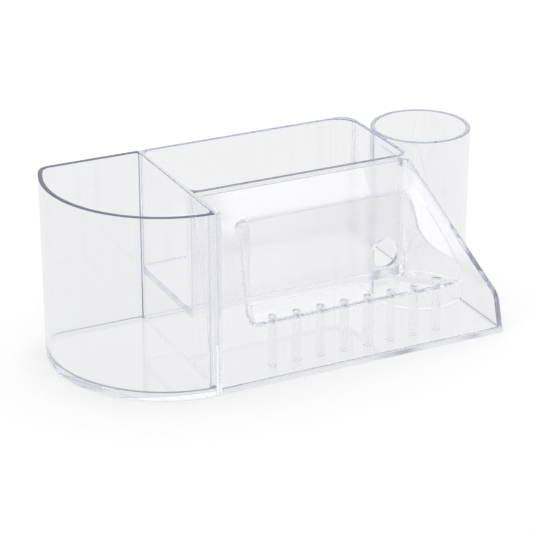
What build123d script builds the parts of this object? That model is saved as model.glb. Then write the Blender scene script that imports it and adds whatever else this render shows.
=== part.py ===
# Clear plastic desk holder for a nail drill, its bits and small tools, in millimetres.
# A round-ended bin on the left, a tub with a raised floor behind a sloping front, a recessed shelf
# of bit sockets in that front, and a round cup at the right end.
# Every piece is a moulded or cut sheet of clear plastic, bonded face to face to its neighbours.
# The pieces are drawn from the front right edge of the divider: X to the right, Y to the rear, Z up.
# They are written out with the origin at the middle of the underside.
import os
from math import atan, cos

from build123d import *

# Whole holder
height = 100.0
depth = 98.0
wall = 2.4               # bin, divider, side wall and cup
shell = 2.2              # tub and sloping front
base_plate = 2.4         # floor plate under the tub, the front and the cup

# Round-ended bin
bin_radius = 65.5        # outside of the round wall
bin_centre_x = -1.0      # the round wall runs into the front edge here
bin_floor_plate = 4.6    # the bin's wall stands on this thicker plate
bin_rear_corner = 8.0    # outside corner between the round wall and the straight rear wall
bin_front_fillet = 5.0   # inside, between the round wall and the divider
bin_rear_fillet = 3.0    # inside, between the rear wall and the divider

# Divider between the bin and the rest
post_extra = 1.0         # the divider is this much thicker in front of the tub

# Tub with a raised floor
tub_length = 124.8       # outside, from the divider to its right wall
front_run = 30.0         # how far back the sloping front leans over the full height
tub_floor_plate = 4.4    # the tub's floor lies on the shelf's rear ledge
tub_corner = 8.0         # outside, at the two right corners
tub_inner_corner = 5.0   # inside, at the two left corners

# Sloping front and the side wall behind its right edge
base_length = 167.7      # from the divider's front part to the upright nose
nose_height = 20.0       # the right edge is upright below this level, then leans in
nose_round = 16.0
lean_inset = 2.3         # the leaning edge reaches the rim this far inside the tub's right wall

# Recess in the front, with the shelf for the bits at its foot
shelf_level = 31.0       # top of the shelf
shelf_plate = 2.6
shelf_ledge = 4.0        # the shelf runs this far under the tub's floor
recess_wall = 2.0
top_strip = 19.0         # height of the front left above the recess
recess_left = 30.0       # at the rear of the recess, on the shelf
mouth_left = 24.0        # at the front of the recess, on the shelf
mouth_margin = 15.8      # from the mouth's right corner to the leaning edge
left_lean = 9.0          # sideways run of the left wall over the height of the recess
right_lean = 2.2

# Bit sockets
socket_count = 8
socket_pitch = 14.0
socket_inset = 5.6       # from the recess's left wall to the first socket
socket_setback = 3.4     # from the shelf's front edge to the sockets
socket_radius = 2.6
shank_radius = 1.175     # drill bits have a 2.35 mm shank
shank_clearance = 0.125
lead_in_radius = 2.15    # countersink at the top of each socket

# Hole for the drill's cord, through the tub's front wall
cord_hole_radius = 8.2
cord_hole_inset = 11.0   # from the right wall of the recess
cord_hole_lift = 10.1    # above the tub's floor

# Round cup
cup_radius = 27.2
cup_setback = 5.4        # from the rear of the holder to the rear of the cup
cup_flat = 0.5           # depth of the flat by which the cup is bonded to the tub

margin = 5.0             # how far cutting shapes run past what they cut

# Places that several pieces share
divider_right = -post_extra
divider_left = divider_right - wall
tub_right = divider_right + tub_length
cup_x = tub_right + cup_radius - cup_flat
slope = front_run / height
front_skin = shell / cos(atan(slope))      # thickness of the sloping front, measured along Y
raised_floor = shelf_level + tub_floor_plate
rim_right = tub_right - lean_inset
lean = (base_length - rim_right) / (height - nose_height)
shelf_front = slope * shelf_level
mouth_right = base_length - lean * (shelf_level - nose_height) - mouth_margin
left_flare = (recess_left - mouth_left) / (front_run - shelf_front)
right_flare = (mouth_right - rim_right) / (front_run - shelf_front)
recess_top = height - top_strip
socket_y = shelf_front + front_skin + socket_setback
bore_radius = shank_radius + shank_clearance
cup_y = depth - cup_setback - cup_radius
left_end = bin_centre_x - bin_radius
right_end = cup_x + cup_radius
centre_x = (left_end + right_end) / 2
centre_y = depth / 2


def block(x0, x1, y0, y1, z0, z1):
    """A box between two corners."""
    return Pos(x0, y0, z0) * Box(x1 - x0, y1 - y0, z1 - z0, align=(Align.MIN, Align.MIN, Align.MIN))


def upright(face, z0, z1):
    """A plan outline carried up from one level to another."""
    return extrude(Pos(0, 0, z0) * face, amount=z1 - z0)


def along_x(points, x0, x1):
    """A side outline, as (y, z) points, carried along X."""
    return extrude(Plane.YZ.offset(x0) * make_face(Polyline(*points, close=True)), amount=x1 - x0)


def along_y(face, y0, y1):
    """A front outline, drawn with x across and z up, carried back along Y."""
    return extrude(Plane.XZ.offset(-y1) * face, amount=y1 - y0)


def cylinder_at(x, y, radius, z0, z1):
    """An upright round bar."""
    return Pos(x, y, z0) * Cylinder(radius, z1 - z0, align=(Align.CENTER, Align.CENTER, Align.MIN))


def bin_plan(inset):
    """Plan of the bin, left of the divider: a circle with its rear cut straight."""
    round_part = Pos(bin_centre_x, bin_radius) * Circle(bin_radius - inset)
    size = (divider_left - left_end, depth - 2 * inset)
    window = Pos(left_end, inset) * Rectangle(*size, align=(Align.MIN, Align.MIN))
    outline = round_part & window
    rear_left = outline.vertices().sort_by(Axis.X)[0]
    return fillet([rear_left], bin_rear_corner - inset)


def bin_inside():
    """Plan of the bin's hollow, with rounded corners where its wall meets the divider."""
    outline = bin_plan(wall)
    by_divider = outline.vertices().filter_by(lambda v: abs(v.X - divider_left) < 0.01).sort_by(Axis.Y)
    outline = fillet([by_divider[0]], bin_front_fillet)
    rear = outline.vertices().filter_by(lambda v: abs(v.X - divider_left) < 0.01).sort_by(Axis.Y)[-1]
    return fillet([rear], bin_rear_fillet)


def bin_floor():
    """Thick floor plate of the bin."""
    return upright(bin_plan(0), 0, bin_floor_plate)


def bin_wall():
    """Round and rear wall of the bin, standing on its floor plate."""
    return upright(bin_plan(0) - bin_inside(), bin_floor_plate, height)


def divider():
    """Upright sheet between the bin and the tub, thicker in front of the tub."""
    sheet = block(divider_left, divider_right, 0, depth, 0, height)
    return sheet + block(divider_left, 0, 0, front_run, 0, height)


def tub_plan():
    """Outside of the tub, square against the divider and rounded at the right."""
    outline = Pos(divider_right, front_run) * Rectangle(tub_length, depth - front_run, align=(Align.MIN, Align.MIN))
    return fillet(outline.vertices().group_by(Axis.X)[-1], tub_corner)


def tub_inside():
    """Hollow of the tub in plan."""
    size = (tub_length - 2 * shell, depth - front_run - 2 * shell)
    hollow = Pos(divider_right + shell, front_run + shell) * Rectangle(*size, align=(Align.MIN, Align.MIN))
    hollow = fillet(hollow.vertices().group_by(Axis.X)[-1], tub_corner - shell)
    return fillet(hollow.vertices().group_by(Axis.X)[0], tub_inner_corner)


def cord_hole():
    """Bar that cuts the cord's hole through the tub's front wall."""
    outline = Pos(rim_right - cord_hole_inset, raised_floor + cord_hole_lift) * Circle(cord_hole_radius)
    return along_y(outline, front_run - margin, front_run + shell + margin)


def tub_wall():
    """Four upright walls of the tub, standing on its raised floor."""
    return upright(tub_plan() - tub_inside(), raised_floor, height) - cord_hole()


def tub_floor():
    """Raised floor of the tub."""
    return upright(tub_plan(), shelf_level, raised_floor)


def rear_panel():
    """Straight panel that closes the rear under the tub and carries its floor."""
    return block(divider_right, tub_right - tub_corner, depth - shell, depth, base_plate, shelf_level)


def behind_front(inset):
    """Everything behind the sloping front, from a given distance along Y inside it."""
    low, high = -margin, height + margin
    far = depth + margin
    points = [(slope * low + inset, low), (far, low), (far, high), (slope * high + inset, high)]
    return along_x(points, left_end, right_end + margin)


def side_outline(inset):
    """Front view of the right end: upright nose, round bend, then the lean up to the rim."""
    foot = base_length - inset
    bend = nose_height - inset * (1 / cos(atan(lean)) - 1) / lean
    top = height + margin
    points = [(divider_right, 0), (foot, 0), (foot, bend), (foot - (top - bend) * lean, top), (divider_right, top)]
    outline = make_face(Polyline(*points, close=True))
    knee = outline.vertices().sort_by_distance((foot, bend))[0]
    return fillet([knee], nose_round - inset)


def main_floor():
    """Floor plate under the tub, the sloping front and the cup, with a round lobe for the cup."""
    under_tub = upright(tub_plan(), 0, base_plate)
    under_front = block(0, tub_right, 0, front_run + tub_corner, 0, base_plate)
    under_side = block(tub_right - tub_corner, base_length, 0, cup_y, 0, base_plate)
    under_side -= cylinder_at(cup_x, cup_y, cup_radius, -margin, height)
    under_cup = cylinder_at(cup_x, cup_y, cup_radius, 0, base_plate)
    plate = under_tub + under_front + under_side + under_cup
    beyond = block(tub_right + margin, right_end + margin, cup_y - margin, depth + margin, -margin, height)
    beyond -= cylinder_at(cup_x, cup_y, cup_radius, -margin, height)
    return (plate - beyond) & behind_front(0)


def recess_outline(y, spread):
    """Front view of the recess at one distance from the front, widened by spread on each side."""
    toward_front = front_run - y
    left = recess_left - left_flare * toward_front - spread
    right = rim_right + right_flare * toward_front + spread
    points = [
        (left, shelf_level),
        (right, shelf_level),
        (right - right_lean, recess_top + spread),
        (left - left_lean, recess_top + spread),
    ]
    return make_face(Polyline(*points, close=True))


def recess_body(spread):
    """Space of the recess from the front edge back to the tub, as one tapered block."""
    front = Plane.XZ * recess_outline(0, spread)
    rear = Plane.XZ.offset(-front_run) * recess_outline(front_run, spread)
    return loft([front, rear], ruled=True)


def front_panel():
    """Sloping front with the mouth of the recess cut through it."""
    slab = behind_front(0) - behind_front(front_skin)
    across = along_y(side_outline(0), -margin, depth)
    panel = slab & across & block(0, base_length, -margin, depth, base_plate, height)
    return panel - upright(tub_plan(), -margin, height + margin) - recess_body(0)


def recess_lining():
    """Side and top walls of the recess together, between the sloping front and the tub."""
    lining = recess_body(recess_wall) - recess_body(0)
    lining &= behind_front(front_skin)
    return lining & block(-margin, base_length, 0, front_run, shelf_level, height)


def recess_left_wall():
    """Wall at the left of the recess, standing on the shelf."""
    return recess_lining() & block(-margin, tub_length / 2, 0, front_run, shelf_level, recess_top)


def recess_right_wall():
    """Wall at the right of the recess, which flares towards the front."""
    return recess_lining() & block(tub_length / 2, base_length, 0, front_run, shelf_level, recess_top)


def recess_top_wall():
    """Narrow strip that closes the top of the recess, lying on both side walls."""
    return recess_lining() & block(-margin, base_length, 0, front_run, recess_top, height)


def socket_places():
    """X of every bit socket, from the left."""
    return [recess_left + socket_inset + socket_pitch * i for i in range(socket_count)]


def bit_shelf():
    """Shelf at the foot of the recess, with a countersunk hole over each socket."""
    footprint = recess_body(recess_wall).faces().sort_by(Axis.Z)[0]
    shelf = extrude(footprint, amount=shelf_plate) & behind_front(front_skin)
    left, right = recess_left - recess_wall, rim_right + recess_wall
    shelf += block(left, right, front_run, front_run + shelf_ledge, shelf_level - shelf_plate, shelf_level)
    lead_in = lead_in_radius - bore_radius
    for x in socket_places():
        shelf -= cylinder_at(x, socket_y, bore_radius, 0, height)
        cone = Cone(bore_radius, lead_in_radius, lead_in, align=(Align.CENTER, Align.CENTER, Align.MAX))
        shelf -= Pos(x, socket_y, shelf_level) * cone
    return shelf


def bit_socket(x):
    """Tube that holds one bit by its shank, from the floor plate up to the shelf."""
    top = shelf_level - shelf_plate
    tube = cylinder_at(x, socket_y, socket_radius, base_plate, top)
    return tube - cylinder_at(x, socket_y, bore_radius, 0, height)


def drill_cup():
    """Round cup, with a narrow flat where it is bonded to the tub's right wall."""
    tube = cylinder_at(cup_x, cup_y, cup_radius, base_plate, height)
    tube -= cylinder_at(cup_x, cup_y, cup_radius - wall, 0, height + margin)
    return tube - block(divider_right, tub_right, 0, depth, 0, height + margin)


def side_wall():
    """Wall behind the leaning right edge of the front, running back to the cup."""
    skin = along_y(side_outline(0), 0, cup_y) - along_y(side_outline(wall), 0, cup_y)
    skin &= block(tub_right, base_length, 0, cup_y, base_plate, height)
    skin &= behind_front(front_skin)
    return skin - cylinder_at(cup_x, cup_y, cup_radius, 0, height + margin)


def write(name, solid):
    """Move a piece to the holder's own origin and write it."""
    export_step(Pos(-centre_x, -centre_y, 0) * solid, f"parts/{name}.step")


os.makedirs("parts", exist_ok=True)
write("bin_floor", bin_floor())
write("bin_wall", bin_wall())
write("divider", divider())
write("main_floor", main_floor())
write("tub_wall", tub_wall())
write("tub_floor", tub_floor())
write("rear_panel", rear_panel())
write("front_panel", front_panel())
write("side_wall", side_wall())
write("recess_left_wall", recess_left_wall())
write("recess_right_wall", recess_right_wall())
write("recess_top_wall", recess_top_wall())
write("bit_shelf", bit_shelf())
write("drill_cup", drill_cup())
for number, place in enumerate(socket_places(), start=1):
    write(f"bit_socket_{number}", bit_socket(place))
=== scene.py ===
import bmesh
import bpy
import numpy as np
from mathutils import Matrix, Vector


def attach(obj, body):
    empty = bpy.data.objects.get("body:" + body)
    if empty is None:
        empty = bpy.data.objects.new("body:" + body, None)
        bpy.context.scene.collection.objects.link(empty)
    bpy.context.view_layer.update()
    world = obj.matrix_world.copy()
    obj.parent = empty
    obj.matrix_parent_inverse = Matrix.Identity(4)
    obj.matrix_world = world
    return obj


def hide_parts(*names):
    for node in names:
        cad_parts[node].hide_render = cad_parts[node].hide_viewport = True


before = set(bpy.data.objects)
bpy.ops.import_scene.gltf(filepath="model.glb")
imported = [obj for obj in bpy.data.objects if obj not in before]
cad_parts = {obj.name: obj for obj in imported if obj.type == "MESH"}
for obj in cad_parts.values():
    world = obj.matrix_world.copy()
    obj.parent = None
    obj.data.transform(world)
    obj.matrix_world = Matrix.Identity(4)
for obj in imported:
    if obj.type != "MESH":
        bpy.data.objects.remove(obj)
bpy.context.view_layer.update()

scene = bpy.context.scene
scene.view_settings.view_transform = "Standard"

# Lengths are in millimetres from the front right edge of the divider, X to the right, Y to the rear, Z up.
holder = {
    "middle": (55.6, 49.0),     # of the whole holder, where the frame's origin lies
    "height": 100.0,
    "depth": 98.0,
    "slope": 0.3,               # the front leans back this much per unit of height
    "bond": 0.03,               # hairline left between bonded sheets, so that their faces don't coincide
    "rim": 0.3,                 # rounding of the rims
}


def placed(points):
    # millimetres at the holder -> metres in the frame
    return (np.asarray(points, float) - [*holder["middle"], 0.0]) * 0.001


def linear(hexColour):
    # sRGB hex to linear light
    c = np.array([int(hexColour[i:i + 2], 16) for i in (1, 3, 5)]) / 255.0
    low, high = c / 12.92, ((c + 0.055) / 1.055) ** 2.4
    return tuple(np.where(c <= 0.04045, low, high))


def addNode(tree, kind, settings=None, links=None):
    # one node, with its settings and inputs; an input is a value or another node's socket
    node = tree.nodes.new(kind)
    for name, value in (settings or {}).items():
        setattr(node, name, value)
    for name, value in (links or {}).items():
        if isinstance(value, bpy.types.NodeSocket):
            tree.links.new(value, node.inputs[name])
        else:
            node.inputs[name].default_value = value
    return node


polystyrene = {
    "ior": 1.59,
    "surface": "#fdfdfe",
    "waves": 22.0, "waveHeight": 0.00002,       # from the flow: about 45 mm long and 0.02 mm high
    "blue": "#7c95c4", "rimBlue": "#7088bc",    # what a long way through the plastic leaves of white
    "shadow": "#fafbfc", "plateShadow": "#7c828c",
}


def clearPolystyrene(name, density, tint="blue", shadow="shadow", satin=None, roughness=0.0, colour=None, clear=1.0):
    # Polystyrene, injection moulded in a polished tool: glass-clear, refracts more than acrylic, with slow waves
    # in its faces from the flow and a faint blue that only shows along a sheet's length, by its density per metre.
    # A satin zone is the finely etched part of the tool, which blurs what lies behind it. Clear is the share of
    # the light that passes, and the haze takes the rest.
    material = bpy.data.materials.new(name)
    material.use_nodes = True
    tree = material.node_tree
    tree.nodes.clear()
    place = addNode(tree, "ShaderNodeTexCoord").outputs["Object"]
    waves = addNode(tree, "ShaderNodeTexNoise", {}, {
        "Vector": place, "Scale": polystyrene["waves"], "Detail": 1.0})
    bump = addNode(tree, "ShaderNodeBump", {}, {
        "Height": waves.outputs["Fac"], "Strength": 1.0, "Distance": polystyrene["waveHeight"]})
    plastic = addNode(tree, "ShaderNodeBsdfPrincipled", {}, {
        "Base Color": (*linear(colour or polystyrene["surface"]), 1.0), "Roughness": roughness,
        "IOR": polystyrene["ior"], "Transmission Weight": clear, "Normal": bump.outputs["Normal"]})
    if satin:
        axes = addNode(tree, "ShaderNodeSeparateXYZ", {}, {"Vector": place})
        rough = addNode(tree, "ShaderNodeMapRange", {}, {
            "Value": axes.outputs["Y"], "From Min": satin["from"], "From Max": satin["to"],
            "To Min": satin["roughness"], "To Max": 0.0})
        tree.links.new(rough.outputs["Result"], plastic.inputs["Roughness"])
    lets = addNode(tree, "ShaderNodeBsdfTransparent", {}, {"Color": (*linear(polystyrene[shadow]), 1.0)})
    path = addNode(tree, "ShaderNodeLightPath")
    mix = addNode(tree, "ShaderNodeMixShader", {}, {"Fac": path.outputs["Is Shadow Ray"]})
    tree.links.new(plastic.outputs[0], mix.inputs[1])
    tree.links.new(lets.outputs[0], mix.inputs[2])
    depth = addNode(tree, "ShaderNodeVolumeAbsorption", {}, {
        "Color": (*linear(polystyrene[tint]), 1.0), "Density": density})
    addNode(tree, "ShaderNodeOutputMaterial", {}, {"Surface": mix.outputs[0], "Volume": depth.outputs[0]})
    return material


# the same plastic for every piece; the densities differ to match how blue each piece's edges look
sheetPlastic = clearPolystyrene("clearPolystyreneWalls", 3.0)
roundPlastic = clearPolystyrene("clearPolystyreneRoundWall", 8.0)
thinPlastic = clearPolystyrene("clearPolystyreneMouldings", 1.2)
frontPlastic = clearPolystyrene("clearPolystyreneFront", 0.8)
rimPlastic = clearPolystyrene("clearPolystyreneRims", 10.0, "rimBlue")
binFloorPlastic = clearPolystyrene("clearPolystyreneBinFloor", 1.0, shadow="plateShadow")
platePlastic = clearPolystyrene("clearPolystyreneFloorPlate", 0.6, shadow="plateShadow")
# the floor plate's front edge, matt as where a tool parts; polished, it shows trapped light as black dashes
mattEdgePlastic = clearPolystyrene("clearPolystyreneMattEdge", 0.6, shadow="plateShadow", roughness=0.35)
# the walls' feet, drawn grey and hazed, which shows them as dark lines
seamPlastic = clearPolystyrene("clearPolystyreneGreyHazedSeam", 1.2, shadow="plateShadow", roughness=0.4,
                               colour="#bcc2ce", clear=0.7)
# etched on the outer face of the tub's front wall, which lies 19 mm in front of the middle
tubPlastic = clearPolystyrene("clearPolystyreneSatinFront", 0.5,
                              satin={"from": -0.0182, "to": -0.0176, "roughness": 0.25})


def gridFaces(rows, columns, closedRows, closedColumns):
    # quads between neighbouring points of a grid, one row of four indices each
    i = np.arange(rows if closedRows else rows - 1)
    j = np.arange(columns if closedColumns else columns - 1)
    i, j = (a.ravel() for a in np.meshgrid(i, j, indexing="ij"))
    down, across = (i + 1) % rows, (j + 1) % columns
    return np.stack([i * columns + j, down * columns + j, down * columns + across, i * columns + across], 1)


finish = {
    "doubles": 1e-7,            # metres
    "bevelSteps": 3, "bevelFrom": 35.0,     # degrees
    "sharpFrom": 25.0,          # degrees; smoothed over sharper edges, the sheets would show black lines
    "evenWeight": 90,
}


def makePiece(name, points, faces, stands, bevel=0.0, cutters=(), plastic=sheetPlastic, smooth=True, rim=None,
              atRim=lambda at: at[:, 2] > holder["height"] - 1.0, atSeam=None):
    # A closed mesh in the frame, cut, bevelled and smoothed, that stands for CAD nodes. The rim and the seam are
    # the faces that atRim and atSeam choose by their centres, in millimetres.
    mesh = bpy.data.meshes.new(name)
    mesh.from_pydata(placed(points).tolist(), [], [list(f) for f in faces])
    bm = bmesh.new()
    bm.from_mesh(mesh)
    bmesh.ops.remove_doubles(bm, verts=bm.verts, dist=finish["doubles"])
    bmesh.ops.dissolve_degenerate(bm, edges=bm.edges, dist=finish["doubles"])
    bmesh.ops.recalc_face_normals(bm, faces=bm.faces)
    bm.to_mesh(mesh)
    bm.free()
    piece = bpy.data.objects.new(name, mesh)
    scene.collection.objects.link(piece)
    for cutter in cutters:
        cut = piece.modifiers.new("cut", "BOOLEAN")
        cut.object = cutter
        cut.operation = "DIFFERENCE"
        cut.solver = "EXACT"
    if cutters:
        bpy.context.view_layer.update()
        made = bpy.data.meshes.new_from_object(piece.evaluated_get(bpy.context.evaluated_depsgraph_get()))
        piece.modifiers.clear()
        piece.data = made
        mesh = made
        for cutter in cutters:
            bpy.data.objects.remove(cutter)
    if bevel:
        edge = piece.modifiers.new("edge", "BEVEL")
        edge.width = bevel * 0.001
        edge.segments = finish["bevelSteps"]
        edge.limit_method = "ANGLE"
        edge.angle_limit = np.radians(finish["bevelFrom"])
    mesh.polygons.foreach_set("use_smooth", np.full(len(mesh.polygons), smooth))
    if smooth:
        mesh.set_sharp_from_angle(angle=np.radians(finish["sharpFrom"]))
        even = piece.modifiers.new("even", "WEIGHTED_NORMAL")
        even.weight = finish["evenWeight"]
        even.keep_sharp = True
    mesh.materials.clear()
    mesh.materials.append(plastic)
    centres = np.empty(3 * len(mesh.polygons))
    mesh.polygons.foreach_get("center", centres)
    centres = centres.reshape(-1, 3) * 1000.0 + [*holder["middle"], 0.0]
    chosen = np.zeros(len(mesh.polygons), int)
    # light that enters at the rim runs down inside the sheet and takes its colour
    for zone, inZone in ((rim, atRim), (seamPlastic, atSeam)):
        if zone and inZone:
            mesh.materials.append(zone)
            chosen[inZone(centres)] = len(mesh.materials) - 1
    mesh.polygons.foreach_set("material_index", chosen)
    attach(piece, "root")
    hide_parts(*stands)
    return piece


def makeCutter(points, faces):
    mesh = bpy.data.meshes.new("cutter")
    mesh.from_pydata(placed(points).tolist(), [], [list(f) for f in faces])
    bm = bmesh.new()
    bm.from_mesh(mesh)
    bmesh.ops.recalc_face_normals(bm, faces=bm.faces)
    bm.to_mesh(mesh)
    bm.free()
    cutter = bpy.data.objects.new("cutter", mesh)
    scene.collection.objects.link(cutter)
    return cutter


def arc(centre, radius, start, end, count):
    # points on a circle from one angle to another, in degrees
    a = np.radians(np.linspace(start, end, count))
    return np.stack([centre[0] + radius * np.cos(a), centre[1] + radius * np.sin(a)], 1)


def line(start, end, count):
    t = np.linspace(0, 1, count)[:, None]
    return np.asarray(start) * (1 - t) + np.asarray(end) * t


def wallBetween(outer, inner, low, high, rim, closed):
    # Cross-sections between two plan lines: straight sides, a flat foot and a rim with two rounded edges.
    # Point (i, k) lies on the segment from outer[i] to inner[i], at the height of profile point k.
    across = inner - outer
    width = np.linalg.norm(across, axis=1, keepdims=True)
    across = across / width
    q = np.radians(np.linspace(0, 90, 6))
    fixed = np.concatenate([[0.0], rim * (1 - np.cos(q)), -rim * (1 - np.sin(q)), [0.0]])
    share = np.concatenate([[0.0], np.zeros(6), np.ones(6), [1.0]])
    level = np.concatenate([[low], high - rim + rim * np.sin(q), high - rim + rim * np.cos(q), [low]])
    reach = fixed[None] + share[None] * width
    plan = outer[:, None] + across[:, None] * reach[..., None]
    points = np.concatenate([plan, np.broadcast_to(level[None, :, None], (*reach.shape, 1))], 2)
    rows, columns = reach.shape
    faces = gridFaces(rows, columns, closed, True).tolist()
    if not closed:
        faces += [list(range(columns)), list(range((rows - 1) * columns, rows * columns))]
    return points.reshape(-1, 3), faces


def plateFrom(outline, low, high, draft=1.0):
    # A closed plan outline carried up, its top drawn in towards its middle by the draft, flat at each end.
    n, middle = len(outline), (outline.min(0) + outline.max(0)) / 2
    points = np.concatenate([np.c_[outline, np.full(n, low)], np.c_[middle + (outline - middle) * draft,
                                                                    np.full(n, high)]])
    faces = gridFaces(2, n, False, True).tolist() + [list(range(n)), list(range(n, 2 * n))]
    return points, faces


# the round-ended bin
binShape = {
    "centre": (-1.0, 65.5), "radius": 65.5, "wall": 2.4, "floorPlate": 4.6, "rearCorner": 8.0,
    "right": -3.4, "frontFillet": 4.0, "rearFillet": 3.0,
    "nearRun": 6.0,             # length at each end, by the divider, that has finer steps for the fillets
}


def binOutline(inset):
    # Plan of the bin's outside moved in by inset: the circle, the rear left corner, the straight rear.
    s = binShape
    radius, corner = s["radius"] - inset, s["rearCorner"] - inset
    centre = np.array(s["centre"])
    rear = holder["depth"] - s["rearCorner"]
    drop = s["radius"] - s["rearCorner"]
    cornerX = centre[0] - np.sqrt(drop ** 2 - (rear - centre[1]) ** 2)
    turn = np.degrees(np.arctan2(rear - centre[1], cornerX - centre[0]))
    start = -90 - np.degrees(np.arcsin((centre[0] - s["right"]) / radius))
    near = start - np.degrees(s["nearRun"] / radius) * np.linspace(0, 1, 16)
    angles = np.radians(np.concatenate([near, np.linspace(near[-1], turn - 360, 150)[1:]]))
    roundEnd = centre + radius * np.stack([np.cos(angles), np.sin(angles)], 1)
    rearCorner = arc((cornerX, rear), corner, turn, 90, 14)[1:]
    top, nearX = holder["depth"] - inset, s["right"] - s["nearRun"]
    run = line((cornerX, top), (nearX, top), 12)[1:]
    end = line((nearX, top), (s["right"], top), 16)[1:]
    return np.concatenate([roundEnd, rearCorner, run, end])


def makeBin():
    s = binShape
    outer, inner = binOutline(0.0), binOutline(s["wall"])
    # inside fillets against the divider: the wall thickens by r - sqrt(r^2 - (r - d)^2) at distance d
    gap = np.clip(s["right"] - inner[:, 0], 0, None)
    front = inner[:, 1] < holder["depth"] / 2
    for mask, radius, sign in ((front, s["frontFillet"], 1.0), (~front, s["rearFillet"], -1.0)):
        d = np.clip(gap[mask], 0, radius)
        inner[mask, 1] += sign * (radius - np.sqrt(np.clip(radius ** 2 - (radius - d) ** 2, 0, None)))
    limit = s["right"] - holder["bond"]
    outer[:, 0] = np.minimum(outer[:, 0], limit)
    inner[:, 0] = np.minimum(inner[:, 0], limit)
    foot = s["floorPlate"] + holder["bond"]
    points, faces = wallBetween(outer, inner, foot, holder["height"], holder["rim"], False)
    makePiece("binWall", points, faces, ["bin_wall"], plastic=roundPlastic, rim=rimPlastic,
              atSeam=lambda at: at[:, 2] < s["floorPlate"] + 0.1)
    points, faces = plateFrom(outer, 0.0, s["floorPlate"])
    makePiece("binFloor", points, faces, ["bin_floor"], 0.15, plastic=binFloorPlastic)


makeBin()
print("bin made")

# the divider
divider = {"left": -3.4, "right": -1.0, "front": 0.0, "thickRun": 30.0}


def makeDivider():
    d, gap, depth = divider, holder["bond"], holder["depth"]
    outline = np.array([(d["left"], 0), (d["front"], 0), (d["front"], d["thickRun"] - gap),
                        (d["right"], d["thickRun"] - gap), (d["right"], depth), (d["left"], depth)])
    points, faces = plateFrom(outline, 0.0, holder["height"])
    makePiece("divider", points, faces, ["divider"], 0.3, plastic=thinPlastic, smooth=False)


makeDivider()
print("divider made")

# the tub and its raised floor, moulded in one, open towards the divider
tub = {
    "left": -1.0, "right": 123.8, "front": 30.0, "wall": 2.2, "corner": 8.0,
    "innerFront": 5.8, "innerRear": 13.0, "innerLeft": 5.0,
    "foot": 31.0, "floor": 35.4, "footRound": 0.3,
    "cove": 0.4,                # rounding where the walls meet the floor
    "hole": {"x": 110.5, "z": 45.5, "radius": 8.2, "from": 25.0, "to": 37.0},
}


def tubLine(inset, cove):
    # Plan of the tub from the divider along the front, round the right end and back along the rear, moved in by
    # inset and then by the floor's cove. Inside it thickens by r - sqrt(r^2 - (r - d)^2) at the distance d from the
    # divider, where the points stand closer.
    t = tub
    x0, x1 = t["left"] + holder["bond"], t["right"] - inset - cove
    y0, y1 = t["front"] + inset + cove, holder["depth"] - inset - cove
    share = inset / t["wall"]
    front = t["corner"] + (t["innerFront"] - t["corner"]) * share - cove
    rear = t["corner"] + (t["innerRear"] - t["corner"]) * share - cove
    d = t["innerLeft"] * np.linspace(0, 1, 10) ** 1.5
    r = t["innerLeft"]
    swell = share * (r - np.sqrt(np.clip(r ** 2 - (r - d) ** 2, 0, None)))
    nearDivider = np.stack([x0 + d, y0 + swell], 1)
    frontRun = line((x0 + r, y0), (x1 - front, y0), 24)[1:-1]
    rearRun = line((x1 - rear, y1), (x0 + r, y1), 24)[1:-1]
    farDivider = np.stack([x0 + d, y1 - swell], 1)[::-1]
    return np.concatenate([nearDivider, frontRun, arc((x1 - front, y0 + front), front, -90, 0, 14),
                           arc((x1 - rear, y1 - rear), rear, 0, 90, 14), rearRun, farDivider])


def makeTub():
    # Open plan lines stacked from the foot's rounding up the outside, over the rim and down the inside to the
    # floor, each moved in from the outside by its own distance; flat faces close the foot, the floor and the end.
    t, top, r = tub, holder["height"], holder["rim"]
    q, w = np.radians(np.linspace(0, 90, 6)), np.radians(np.linspace(0, 90, 11))
    low = t["foot"] + holder["bond"]
    insets = np.concatenate([t["footRound"] * (1 - np.sin(q)), r * (1 - np.cos(q)), t["wall"] - r * (1 - np.sin(q)),
                             np.full(len(w), t["wall"])])
    coves = np.concatenate([np.zeros(3 * len(q)), t["cove"] * (1 - np.cos(w))])
    levels = np.concatenate([low + t["footRound"] * (1 - np.cos(q)), top - r + r * np.sin(q), top - r + r * np.cos(q),
                             t["floor"] + t["cove"] * (1 - np.sin(w))])
    loops = np.stack([tubLine(d, c) for d, c in zip(insets, coves)])
    points = np.concatenate([loops, np.broadcast_to(levels[:, None, None], (*loops.shape[:2], 1))], 2)
    rows, columns = loops.shape[:2]
    faces = gridFaces(rows, columns, False, False).tolist()
    faces += [list(range(columns)), list(range((rows - 1) * columns, rows * columns))]
    faces.append([k * columns for k in range(rows)] + [k * columns + columns - 1 for k in reversed(range(rows))])
    h = t["hole"]
    ring = arc((h["x"], h["z"]), h["radius"], 0, 360, 65)[:-1]
    n = len(ring)
    bar = np.concatenate([np.c_[ring[:, 0], np.full(n, y), ring[:, 1]] for y in (h["from"], h["to"])])
    barFaces = gridFaces(2, n, False, True).tolist() + [list(range(n)), list(range(n, 2 * n))]
    makePiece("tub", points.reshape(-1, 3), faces, ["tub_wall", "tub_floor"], 0.0, [makeCutter(bar, barFaces)],
              tubPlastic, rim=sheetPlastic)


makeTub()
print("tub made")

# the cup
cup = {"centre": (150.5, 65.4), "radius": 27.2, "wall": 2.4, "foot": 2.4, "flat": 123.8}


def makeCup():
    c = cup
    outer = arc(c["centre"], c["radius"], 0, 360, 181)[:-1]
    inner = arc(c["centre"], c["radius"] - c["wall"], 0, 360, 181)[:-1]
    outer[:, 0] = np.maximum(outer[:, 0], c["flat"] + holder["bond"])
    points, faces = wallBetween(outer, inner, c["foot"] + holder["bond"], holder["height"], holder["rim"], True)
    makePiece("drillCup", points, faces, ["drill_cup"], plastic=thinPlastic, rim=sheetPlastic)


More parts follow.
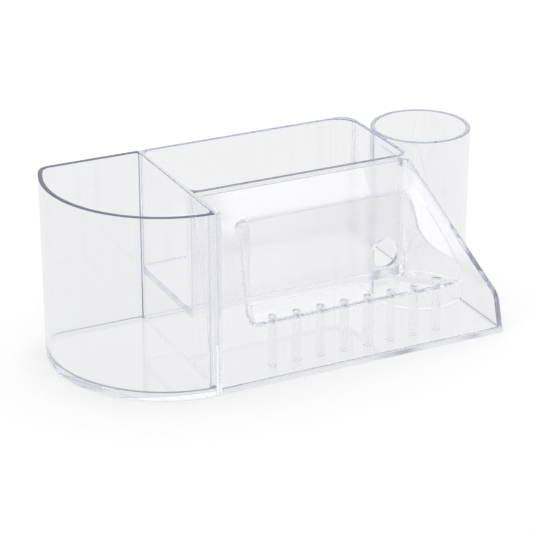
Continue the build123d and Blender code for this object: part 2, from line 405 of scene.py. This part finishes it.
makeCup()
print("cup made")

# the sloping front, with the recess and the shelf for the bits moulded into it
front = {
    "skin": 2.3,                # thickness along Y
    "left": 0.0, "right": 167.7, "foot": 2.4, "top": 97.7,
    "kink": 92.3,               # height at which the rear of the sloping face meets the tub
    "rimRight": 121.5, "noseHeight": 20.0, "noseRound": 16.0,
    "edge": 0.35,               # rounding of the outer edges
    "lip": 1.2,                 # rounding of the mouth
    "walls": 2.0, "shelf": 2.6,             # thickness of the recess's walls and of its shelf
    "rear": 30.0,               # where the walls meet the tub
    "ledge": 4.0,               # the shelf's reach under the tub
    "level": 31.0,
    "mouthLeft": [(21.4, 33.2), (20.3, 36.5), (20.0, 40.0), (20.2, 43.6), (20.6, 53.5), (20.6, 60.9),
                  (20.4, 70.9), (19.7, 79.4)],
    "mouthRight": [(118.4, 79.6), (119.9, 76.6), (121.6, 71.7), (122.4, 66.4), (123.2, 61.6), (125.6, 57.1),
                   (129.8, 51.8), (134.7, 47.5), (140.3, 43.2), (143.5, 39.5), (145.5, 36.5), (145.9, 33.4)],
    "mouthTop": 81.0,
    # reach of the mouth's rounded corners, and how far their control points stand in
    "mouthCorner": {"top": 1.6, "topIn": 0.3, "right": 2.4, "left": 3.4, "leftIn": 0.6},
    "recess": (30.2, 121.5), "recessTop": 79.0, "recessRound": 2.0,
    "pull": 1.5,                # how far the right wall bellies to the rear
    "pullFrom": 80.0, "pullFade": 20.0,     # height at which it starts, and the height over which it grows
    # where the ledge starts, and where it and the shelf's thickness grow, as shares of the foot's length
    "ledgeFrom": 0.05, "ledgeFade": 0.04, "shelfFade": 0.05,
}
bits = {
    "count": 8, "first": 35.6, "pitch": 14.0, "y": 15.0,
    "tube": 2.6, "bore": 1.3, "leadIn": 2.15, "tubeRound": 0.25,
    "above": 1.0, "below": 6.0,     # how far the holes' cutters reach past the shelf's top
}


def smoothLine(points, count):
    # A cubic between neighbouring points, whose tangents are half the step between their neighbours.
    p = np.asarray(points, float)
    p = np.concatenate([[2 * p[0] - p[1]], p, [2 * p[-1] - p[-2]]])
    u = np.linspace(0, len(points) - 1 - 1e-9, count)
    k = u.astype(int)
    f = (u - k)[:, None]
    a, b, c, d = p[k], p[k + 1], p[k + 2], p[k + 3]
    return 0.5 * (2 * b + (c - a) * f + (2 * a - 5 * b + 4 * c - d) * f ** 2 + (3 * b - a - 3 * c + d) * f ** 3)


def bend(start, corner, end, count):
    # A quadratic curve from start to end, drawn towards a corner; both ends are left out.
    v = np.linspace(0, 1, count + 2)[1:-1, None]
    return (1 - v) ** 2 * np.asarray(start) + 2 * v * (1 - v) * np.asarray(corner) + v ** 2 * np.asarray(end)


def unit(a):
    return a / np.linalg.norm(a, axis=-1, keepdims=True)


def sideLine(inset):
    # Front view of the holder's right end from the foot up: upright nose, round knee, straight lean to the rim.
    f = front
    lean = (f["right"] - f["rimRight"]) / (holder["height"] - f["noseHeight"])
    foot = f["right"] - inset
    knee = f["noseHeight"] - inset * (np.hypot(1, lean) - 1) / lean
    reach = (f["noseRound"] - inset) * np.tan(np.arctan(lean) / 2)
    up = np.array([-lean, 1.0]) / np.hypot(1, lean)
    corner = np.array([foot, knee])
    centre = np.array([foot - (f["noseRound"] - inset), knee - reach])
    return centre, f["noseRound"] - inset, np.degrees(np.arctan(lean)), corner + up * reach, up


def leanAt(height):
    # X of the holder's right end at a height
    f = front
    share = np.clip((holder["height"] - height) / (holder["height"] - f["noseHeight"]), 0, 1)
    return f["rimRight"] + (f["right"] - f["rimRight"]) * share


def frontLoops():
    # The front's outline, the recess's mouth and the recess's outline at the tub, all in (x, z) and matched point
    # by point: up the left, along the top, down the right and back along the foot.
    f, gap = front, holder["bond"]
    left, foot, top, kink = f["left"] + gap, f["foot"] + gap, f["top"], f["kink"]
    centre, radius, turn, start, up = sideLine(0.0)
    topRight = start + up * (top - start[1]) / up[1]
    nearTop = start + up * (kink - start[1]) / up[1]
    outer = [np.concatenate([line((left, foot + 3), (left, kink), 48), [(left, (kink + top) / 2), (left, top)]]),
             line((left, top), tuple(topRight), 62)[1:-1],
             np.concatenate([[topRight, (topRight + nearTop) / 2], line(nearTop, start, 40),
                             arc(centre, radius, turn, 0, 9)[1:], [(f["right"], foot + 3), (f["right"], foot)]]),
             np.concatenate([line((f["right"], foot), (left, foot), 61)[1:]])]
    n, m, k, j = (len(run) for run in outer)
    x0, x1, level, reach = f["mouthLeft"][0][0], f["mouthRight"][0][0], f["level"], f["mouthCorner"]
    a, b = (f["mouthLeft"][-1][0] + reach["top"], f["mouthTop"]), (x1 - reach["top"], f["mouthTop"])
    c, d = (f["mouthRight"][-1][0] - reach["right"], level), (x0 + reach["left"], level)
    mouth = np.concatenate([
        smoothLine(f["mouthLeft"], n - 4), bend(f["mouthLeft"][-1], (f["mouthLeft"][-1][0], f["mouthTop"]), a, 4),
        line(a, b, m), bend(b, (x1 - reach["topIn"], f["mouthTop"]), f["mouthRight"][0], 4),
        smoothLine(f["mouthRight"], k - 8), bend(f["mouthRight"][-1], (f["mouthRight"][-1][0], level), c, 4),
        line(c, d, j - 4), bend(d, (x0 + reach["leftIn"], level), f["mouthLeft"][0], 4)])
    r, (x0, x1), top = f["recessRound"], f["recess"], f["recessTop"]

    def upright(x, z):
        # heights at the tub in proportion to the mouth's
        share = (z - z.min()) / (z.max() - z.min())
        return np.c_[np.full(len(z), x), level + r + share * (top - level - 2 * r)]

    rear = np.concatenate([
        upright(x0, mouth[:n - 4, 1]), bend((x0, top - r), (x0, top), (x0 + r, top), 4),
        line((x0 + r, top), (x1 - r, top), m), bend((x1 - r, top), (x1, top), (x1, top - r), 4),
        upright(x1, mouth[n + m + 4:n + m + k - 4, 1]), bend((x1, level + r), (x1, level), (x1 - r, level), 4),
        line((x1 - r, level), (x0 + r, level), j - 4), bend((x0 + r, level), (x0, level), (x0, level + r), 4)])
    return np.concatenate(outer), mouth, rear, (n, m, k, j)


def makeFront():
    # For each step round the mouth, a closed profile: outer edge, sloping face, lip, the recess's wall to the tub
    # and back on its outside, rear of the sloping face. The walls are quadratic curves from the mouth to the tub.
    f, slope, gap = front, holder["slope"], holder["bond"]
    outer, mouth, rear, (n, m, k, j) = frontLoops()
    count = len(outer)
    step = np.arange(count)
    onRight, onFoot = (step >= n + m) & (step < n + m + k), step >= n + m + k
    footShare = np.clip((step - (n + m + k)) / (j - 1), 0, 1)
    # the shelf runs on under the tub
    edge = np.minimum(footShare, 1 - footShare)
    ledge = np.where(onFoot, np.clip((edge - f["ledgeFrom"]) / f["ledgeFade"], 0, 1), 0) * f["ledge"]
    rearY = f["rear"] - gap + ledge
    onShelf = np.clip(footShare / f["shelfFade"], 0, 1) * np.clip((1 - footShare) / f["shelfFade"], 0, 1)
    thick = f["walls"] + (f["shelf"] - f["walls"]) * onShelf

    def onFace(xz, inside=0.0):
        y = np.minimum(slope * xz[:, 1] + inside, f["rear"] - gap)
        return np.stack([xz[:, 0], y, xz[:, 1]], 1)

    start, end = onFace(mouth), np.stack([rear[:, 0], rearY, rear[:, 1]], 1)
    middle = (start + end) / 2
    pulled = np.stack([np.full(count, f["recess"][1]), (start[:, 1] + f["rear"]) / 2 + f["pull"], middle[:, 2]], 1)
    fade = np.clip((f["pullFrom"] - mouth[:, 1]) / f["pullFade"], 0, 1)
    share = np.where(onRight, fade, np.where(onFoot, 1 - footShare, 0))[:, None]
    footPull = middle + (pulled[n + m + k - 1] - middle[n + m + k - 1]) * share
    middle = np.where(onFoot[:, None], footPull, middle * (1 - share) + pulled * share)

    def wallPoint(v):
        v = v[:, None]
        return (1 - v) ** 2 * start + 2 * v * (1 - v) * middle + v ** 2 * end

    def outside(v):
        # the wall's outer face, moved out in the front view
        w, p = v[:, None], wallPoint(v)
        along = 2 * (1 - w) * (middle - start) + 2 * w * (end - middle)
        out = unit(np.cross(np.roll(p, -1, 0) - np.roll(p, 1, 0), along))[:, [0, 2]]
        out = out / (out ** 2).sum(1, keepdims=True) * thick[:, None]
        return p + np.stack([out[:, 0], np.zeros(count), out[:, 1]], 1)

    def backAt(surface):
        # where a wall's face crosses the rear of the sloping face, by bisection
        low, high = np.zeros(count), np.ones(count)
        for _ in range(24):
            v = (low + high) / 2
            p = surface(v)
            beyond = p[:, 1] - slope * p[:, 2] > f["skin"]
            low, high = np.where(beyond, low, v), np.where(beyond, v, high)
        return (low + high) / 2

    turn = unit(np.roll(mouth, -1, 0) - np.roll(mouth, 1, 0))
    away = np.stack([-turn[:, 1], turn[:, 0]], 1)
    vLip = np.clip(f["lip"] / (2 * np.linalg.norm(middle - start, axis=1)), 0, 0.4)
    vIn, vOut = np.maximum(backAt(wallPoint), vLip + 0.02), backAt(outside)
    q = np.linspace(0, 1, 7)[:, None, None]
    lip = (1 - q) ** 2 * onFace(mouth + away * f["lip"]) + 2 * q * (1 - q) * start + q ** 2 * wallPoint(vLip)
    inner = [wallPoint(vLip + (vIn - vLip) * s) for s in (0.5, 1.0)]
    inner += [wallPoint(vIn + (1 - vIn) * s) for s in np.linspace(0, 1, 9)[1:]]
    back = [outside(1 + (vOut - 1) * s) for s in np.linspace(0, 1, 9)]
    for p in (*back, *inner):
        p[:, 1] = np.minimum(p[:, 1], rearY)
    # outer edge, rounded in front and behind
    t0, t1 = unit(outer - np.roll(outer, 1, 0)), unit(np.roll(outer, -1, 0) - outer)
    n0, n1 = (np.stack([t[:, 1], -t[:, 0]], 1) for t in (t0, t1))
    inward = (n0 + n1) / (1 + (n0 * n1).sum(1, keepdims=True)) * f["edge"]
    a, e = np.radians([90, 60, 30, 0]), f["edge"]
    frontEdge = [onFace(outer + inward * (1 - np.sin(w)), e * (1 - np.cos(w))) for w in a]
    rearEdge = [onFace(outer + inward * (1 - np.cos(w)), f["skin"] - e * (1 - np.sin(w))) for w in a]
    first, last = back[-1], rearEdge[0]
    share = np.clip((f["kink"] - first[:, 2]) / np.maximum(last[:, 2] - first[:, 2], 1e-6), 0, 1)
    share = np.where(last[:, 2] > f["kink"], share, 0.9)[:, None]
    profile = [*frontEdge, *lip, *inner, *back, first * (1 - share) + last * share, *rearEdge]
    points = np.stack(profile, 1)
    faces = gridFaces(count, points.shape[1], True, True).tolist()
    # countersunk holes in the shelf
    b, steps = bits, 32
    lead = b["leadIn"] - b["bore"]
    radii = [b["bore"], b["bore"], b["leadIn"] + b["above"]]
    levels = [f["level"] - b["below"], f["level"] - lead, f["level"] + b["above"]]
    cutPoints, cutFaces = [], []
    for i in range(b["count"]):
        base = i * 3 * steps
        cutPoints.append(turned(b["first"] + b["pitch"] * i, b["y"], radii, levels, steps))
        cutFaces += (gridFaces(3, steps, False, True) + base).tolist()
        cutFaces += [list(range(base, base + steps)), list(range(base + 2 * steps, base + 3 * steps))]
    makePiece("frontShell", points.reshape(-1, 3), faces,
              ["front_panel", "recess_left_wall", "recess_right_wall", "recess_top_wall", "bit_shelf"], 0.0,
              [makeCutter(np.concatenate(cutPoints), cutFaces)], frontPlastic, rim=rimPlastic,
              atRim=lambda at: at[:, 0] > leanAt(at[:, 2]) - 0.8)


def turned(x, y, radii, levels, steps):
    # A profile of radius and level turned round an upright axis at (x, y).
    a = np.radians(np.linspace(0, 360, steps + 1)[:-1])
    r, z = np.asarray(radii, float), np.asarray(levels, float)
    points = np.stack(np.broadcast_arrays(x + r[:, None] * np.cos(a), y + r[:, None] * np.sin(a), z[:, None]), 2)
    return points.reshape(-1, 3)


def makeSocket(number):
    # A tube's section with rounded ends, turned round the bit's axis.
    b, gap, r = bits, holder["bond"], bits["tubeRound"]
    low, high = front["foot"] + gap, front["level"] - front["shelf"] - gap
    q = np.radians(np.linspace(0, 90, 5))
    radii = np.concatenate([b["tube"] - r + r * np.sin(q), b["tube"] - r + r * np.cos(q),
                            b["bore"] + r - r * np.sin(q), b["bore"] + r - r * np.cos(q)])
    levels = np.concatenate([low + r - r * np.cos(q), high - r + r * np.sin(q),
                             high - r + r * np.cos(q), low + r - r * np.sin(q)])
    points = turned(b["first"] + b["pitch"] * number, b["y"], radii, levels, 40)
    makePiece(f"bitSocket{number + 1}", points, gridFaces(len(radii), 40, True, True), [f"bit_socket_{number + 1}"],
              plastic=thinPlastic)


makeFront()
print("front made")
for number in range(bits["count"]):
    makeSocket(number)
print("sockets made")

# the wall at the right end, from the sloping front back to the cup
sideWall = {"wall": 2.4, "tubRight": 123.8}


def makeSideWall():
    # The end's outline and the same moved in by the wall, each carried from the sloping front to the cup's outside.
    s, gap, slope = sideWall, holder["bond"], holder["slope"]
    rows = []
    for inset in (0.0, s["wall"]):
        centre, radius, turn, start, up = sideLine(inset)
        top = start + up * (s["tubRight"] + gap - start[0]) / up[0]
        foot = front["right"] - inset
        rows.append(np.concatenate([line((foot, front["foot"] + gap), (foot, centre[1]), 4)[:-1],
                                    arc(centre, radius, 0, turn, 12), line(start, top, 40)[1:]]))
    outer, inner = rows

    def frontY(p):
        return slope * p[:, 1] + front["skin"] + gap

    def rearY(p):
        reach = np.clip(cup["radius"] ** 2 - (p[:, 0] - cup["centre"][0]) ** 2, 0, None)
        return cup["centre"][1] - np.sqrt(reach) - gap

    ring = [(outer, frontY(outer)), (outer, rearY(outer)), (inner, rearY(inner)), (inner, frontY(inner))]
    points = np.stack([np.stack([p[:, 0], y, p[:, 1]], 1) for p, y in ring], 1)
    count = len(outer)
    faces = gridFaces(count, 4, False, True).tolist() + [[0, 1, 2, 3], [4 * count - k for k in (4, 3, 2, 1)]]
    makePiece("sideWall", points.reshape(-1, 3), faces, ["side_wall"], 0.2,
              atSeam=lambda at: at[:, 2] < front["foot"] + 0.1)


makeSideWall()
print("side wall made")

# the floor plate under the tub, the front and the cup
plateShape = {
    "lobe": (-50.8, 169.0),     # degrees of the cup's circle that the plate follows
    "draft": 0.9985,            # of the top's size to the foot's
    "frontRun": 1.0,            # faces this near to the front are the matt edge
}


def makeMainFloor():
    # A closed plan outline carried up by the plate's thickness: the front, the cup's lobe, the tub's rear corner,
    # and back along the divider.
    p, gap, foot, radius = plateShape, holder["bond"], front["foot"], tub["corner"]
    lobe = arc(cup["centre"], cup["radius"], *p["lobe"], 90)
    corner = arc((tub["right"] - radius, holder["depth"] - radius), radius, 0, 90, 10)
    left, step = divider["right"] + gap, tub["front"] + gap
    outline = np.concatenate([[(gap, 0.0), (front["right"], 0.0)], lobe, corner,
                              [(left, holder["depth"]), (left, step), (gap, step)]])
    points, faces = plateFrom(outline, 0.0, foot, p["draft"])
    makePiece("mainFloor", points, faces, ["main_floor"], 0.15, plastic=platePlastic, smooth=False,
              rim=mattEdgePlastic,
              atRim=lambda at: (at[:, 2] > 0.1) & (at[:, 2] < foot - 0.1) & (at[:, 1] < p["frontRun"]))


makeMainFloor()
print("floor plate made")

# the panel that closes the rear under the tub
rearPanel = {"left": -1.0, "right": 115.8, "front": 95.8, "foot": 2.4, "top": 31.0}


def makeRearPanel():
    r, gap = rearPanel, holder["bond"]
    outline = np.array([(r["left"] + gap, r["front"]), (r["right"], r["front"]), (r["right"], holder["depth"]),
                        (r["left"] + gap, holder["depth"])])
    points, faces = plateFrom(outline, r["foot"] + gap, r["top"])
    makePiece("rearPanel", points, faces, ["rear_panel"], 0.3, plastic=thinPlastic, smooth=False)


makeRearPanel()
print("rear panel made")

# camera at the photograph's viewing angle
camera = bpy.data.objects.new("camera", bpy.data.cameras.new("camera"))
scene.collection.objects.link(camera)
scene.camera = camera
camera.data.lens = 139.0
camera.data.sensor_width = 36.0
camera.location = (-0.4470, -0.8950, 0.4834)
camera.rotation_mode = "QUATERNION"
camera.rotation_quaternion = Vector((0.4038, 0.8206, -0.4044)).to_track_quat("-Z", "Y")

# floor, room and soft lights
studio = {
    "floorSide": 8.0,           # metres
    "floorColour": 0.95, "floorGlow": 0.46,                     # its lit colour and its own glow, white together
    "floorColourInPlastic": 0.10, "floorGlowInPlastic": 0.84,   # the same where it is seen in the plastic
    "floorLevel": -0.0002,
    "roomFront": 0.80, "roomRear": 1.12, "roomTop": "#8f96a3",
    "roomDepth": (-0.3, 0.5), "roomHeight": (0.42, 0.80),       # of a ray's direction, where the room's parts blend
    "roomLight": 0.60,           # what lights the floor
    # upright soft light in front at the right, reflected by the sloping front
    "frontLight": {"x": (505.0, 950.0), "y": -1200.0, "z": (215.0, 600.0), "strength": 2.9,
                   "ramps": [(0, 516.0, 556.0, 0.0, 1.0), (0, 735.0, 775.0, 1.0, 0.0), (2, 248.0, 272.0, 0.0, 1.0)]},
    # its fainter neighbour, for the sloping front's right end
    "frontLightRight": {"x": (730.0, 1000.0), "y": -1200.0, "z": (150.0, 600.0), "strength": 1.3,
                        "ramps": [(0, 735.0, 775.0, 0.0, 1.0), (2, 160.0, 190.0, 0.0, 1.0)]},
    # low light at the right, which whitens the wall at the left of the recess
    "sideLight": {"x": 900.0, "y": (-420.0, -60.0), "z": (60.0, 330.0), "strength": 2.0,
                  "ramps": [(2, 60.0, 120.0, 0.0, 1.0)]},
}


def makeFloor():
    side, level = studio["floorSide"] / 2, studio["floorLevel"]
    mesh = bpy.data.meshes.new("floor")
    corners = [(-side, -side, level), (side, -side, level), (side, side, level), (-side, side, level)]
    mesh.from_pydata(corners, [], [(0, 1, 2, 3)])
    floor = bpy.data.objects.new("floor", mesh)
    scene.collection.objects.link(floor)
    material = bpy.data.materials.new("whitePaperSweep")
    material.use_nodes = True
    tree = material.node_tree
    tree.nodes.clear()
    path = addNode(tree, "ShaderNodeLightPath")
    glass = addNode(tree, "ShaderNodeMath", {"operation": "MAXIMUM"}, {
        0: path.outputs["Is Transmission Ray"], 1: path.outputs["Is Glossy Ray"]})
    seen = addNode(tree, "ShaderNodeMath", {"operation": "MULTIPLY"},
                   {0: glass.outputs[0], 1: studio["floorGlowInPlastic"]})
    glow = addNode(tree, "ShaderNodeMath", {"operation": "MULTIPLY_ADD"}, {
        0: path.outputs["Is Camera Ray"], 1: studio["floorGlow"], 2: seen.outputs[0]})
    shade = addNode(tree, "ShaderNodeMapRange", {}, {
        "Value": glass.outputs[0], "To Min": studio["floorColour"], "To Max": studio["floorColourInPlastic"]})
    paper = addNode(tree, "ShaderNodeCombineColor", {}, {
        "Red": shade.outputs[0], "Green": shade.outputs[0], "Blue": shade.outputs[0]})
    lit = addNode(tree, "ShaderNodeBsdfDiffuse", {}, {"Color": paper.outputs[0]})
    added = addNode(tree, "ShaderNodeEmission", {}, {"Color": (1, 1, 1, 1), "Strength": glow.outputs[0]})
    both = addNode(tree, "ShaderNodeAddShader", {}, {0: lit.outputs[0], 1: added.outputs[0]})
    addNode(tree, "ShaderNodeOutputMaterial", {}, {"Surface": both.outputs[0]})
    mesh.materials.append(material)


def makeRoom():
    # White to the camera. The plastic and the floor get a room that is grey in front, paler behind and dark above.
    world = bpy.data.worlds.new("room")
    scene.world = world
    world.use_nodes = True
    world.cycles.sampling_method = "NONE"
    tree = world.node_tree
    tree.nodes.clear()
    place = addNode(tree, "ShaderNodeTexCoord")
    axes = addNode(tree, "ShaderNodeSeparateXYZ", {}, {"Vector": place.outputs["Generated"]})
    (low, high), (near, far) = studio["roomHeight"], studio["roomDepth"]
    up = addNode(tree, "ShaderNodeMapRange", {"interpolation_type": "SMOOTHSTEP"},
                 {"Value": axes.outputs["Z"], "From Min": low, "From Max": high})
    behind = addNode(tree, "ShaderNodeMapRange", {"interpolation_type": "SMOOTHSTEP"},
                     {"Value": axes.outputs["Y"], "From Min": near, "From Max": far,
                      "To Min": studio["roomFront"], "To Max": studio["roomRear"]})
    around = addNode(tree, "ShaderNodeCombineColor", {}, {
        "Red": behind.outputs["Result"], "Green": behind.outputs["Result"], "Blue": behind.outputs["Result"]})
    room = addNode(tree, "ShaderNodeMix", {"data_type": "RGBA"}, {
        0: up.outputs["Result"], 6: around.outputs[0], 7: (*linear(studio["roomTop"]), 1.0)})
    path = addNode(tree, "ShaderNodeLightPath")
    level = studio["roomLight"]
    lights = addNode(tree, "ShaderNodeMix", {"data_type": "RGBA"}, {
        0: path.outputs["Is Diffuse Ray"], 6: room.outputs[2], 7: (level, level, level, 1.0)})
    seen = addNode(tree, "ShaderNodeMix", {"data_type": "RGBA"}, {
        0: path.outputs["Is Camera Ray"], 6: lights.outputs[2], 7: (1.0, 1.0, 1.0, 1.0)})
    back = addNode(tree, "ShaderNodeBackground", {}, {"Color": seen.outputs[2], "Strength": 1.0})
    addNode(tree, "ShaderNodeOutputWorld", {}, {"Surface": back.outputs[0]})


def makeCard(name, corners, strength, ramps):
    # A flat light that the camera doesn't see. Each ramp turns its strength by an axis's place in millimetres.
    mesh = bpy.data.meshes.new(name)
    mesh.from_pydata(placed(corners).tolist(), [], [(0, 1, 2, 3)])
    card = bpy.data.objects.new(name, mesh)
    scene.collection.objects.link(card)
    card.visible_camera = False
    material = bpy.data.materials.new(name)
    material.use_nodes = True
    tree = material.node_tree
    tree.nodes.clear()
    place = addNode(tree, "ShaderNodeTexCoord")
    axes = addNode(tree, "ShaderNodeSeparateXYZ", {}, {"Vector": place.outputs["Object"]})
    level = strength
    for axis, start, end, low, high in ramps:
        at = [placed([v, v, v])[axis] for v in (start, end)]
        ramp = addNode(tree, "ShaderNodeMapRange", {"interpolation_type": "SMOOTHSTEP"}, {
            "Value": axes.outputs[axis], "From Min": at[0], "From Max": at[1], "To Min": low, "To Max": high})
        level = addNode(tree, "ShaderNodeMath", {"operation": "MULTIPLY"},
                        {0: level, 1: ramp.outputs["Result"]}).outputs[0]
    light = addNode(tree, "ShaderNodeEmission", {}, {"Color": (1, 1, 1, 1), "Strength": level})
    room = addNode(tree, "ShaderNodeBsdfTransparent")
    both = addNode(tree, "ShaderNodeAddShader", {}, {0: light.outputs[0], 1: room.outputs[0]})
    addNode(tree, "ShaderNodeOutputMaterial", {}, {"Surface": both.outputs[0]})
    mesh.materials.append(material)


def makeLights():
    for name in ("frontLight", "frontLightRight"):
        c = studio[name]
        (x0, x1), (z0, z1) = c["x"], c["z"]
        makeCard(name, [(x0, c["y"], z0), (x1, c["y"], z0), (x1, c["y"], z1), (x0, c["y"], z1)],
                 c["strength"], c["ramps"])
    c = studio["sideLight"]
    (y0, y1), (z0, z1) = c["y"], c["z"]
    makeCard("sideLight", [(c["x"], y0, z0), (c["x"], y1, z0), (c["x"], y1, z1), (c["x"], y0, z1)],
             c["strength"], c["ramps"])


makeFloor()
makeRoom()
makeLights()
print("studio made")

# light runs along inside the sheets for many reflections before it leaves at an edge
scene.cycles.max_bounces = 128
scene.cycles.transmission_bounces = 128
scene.cycles.glossy_bounces = 128
scene.cycles.transparent_max_bounces = 64
scene.cycles.volume_bounces = 0
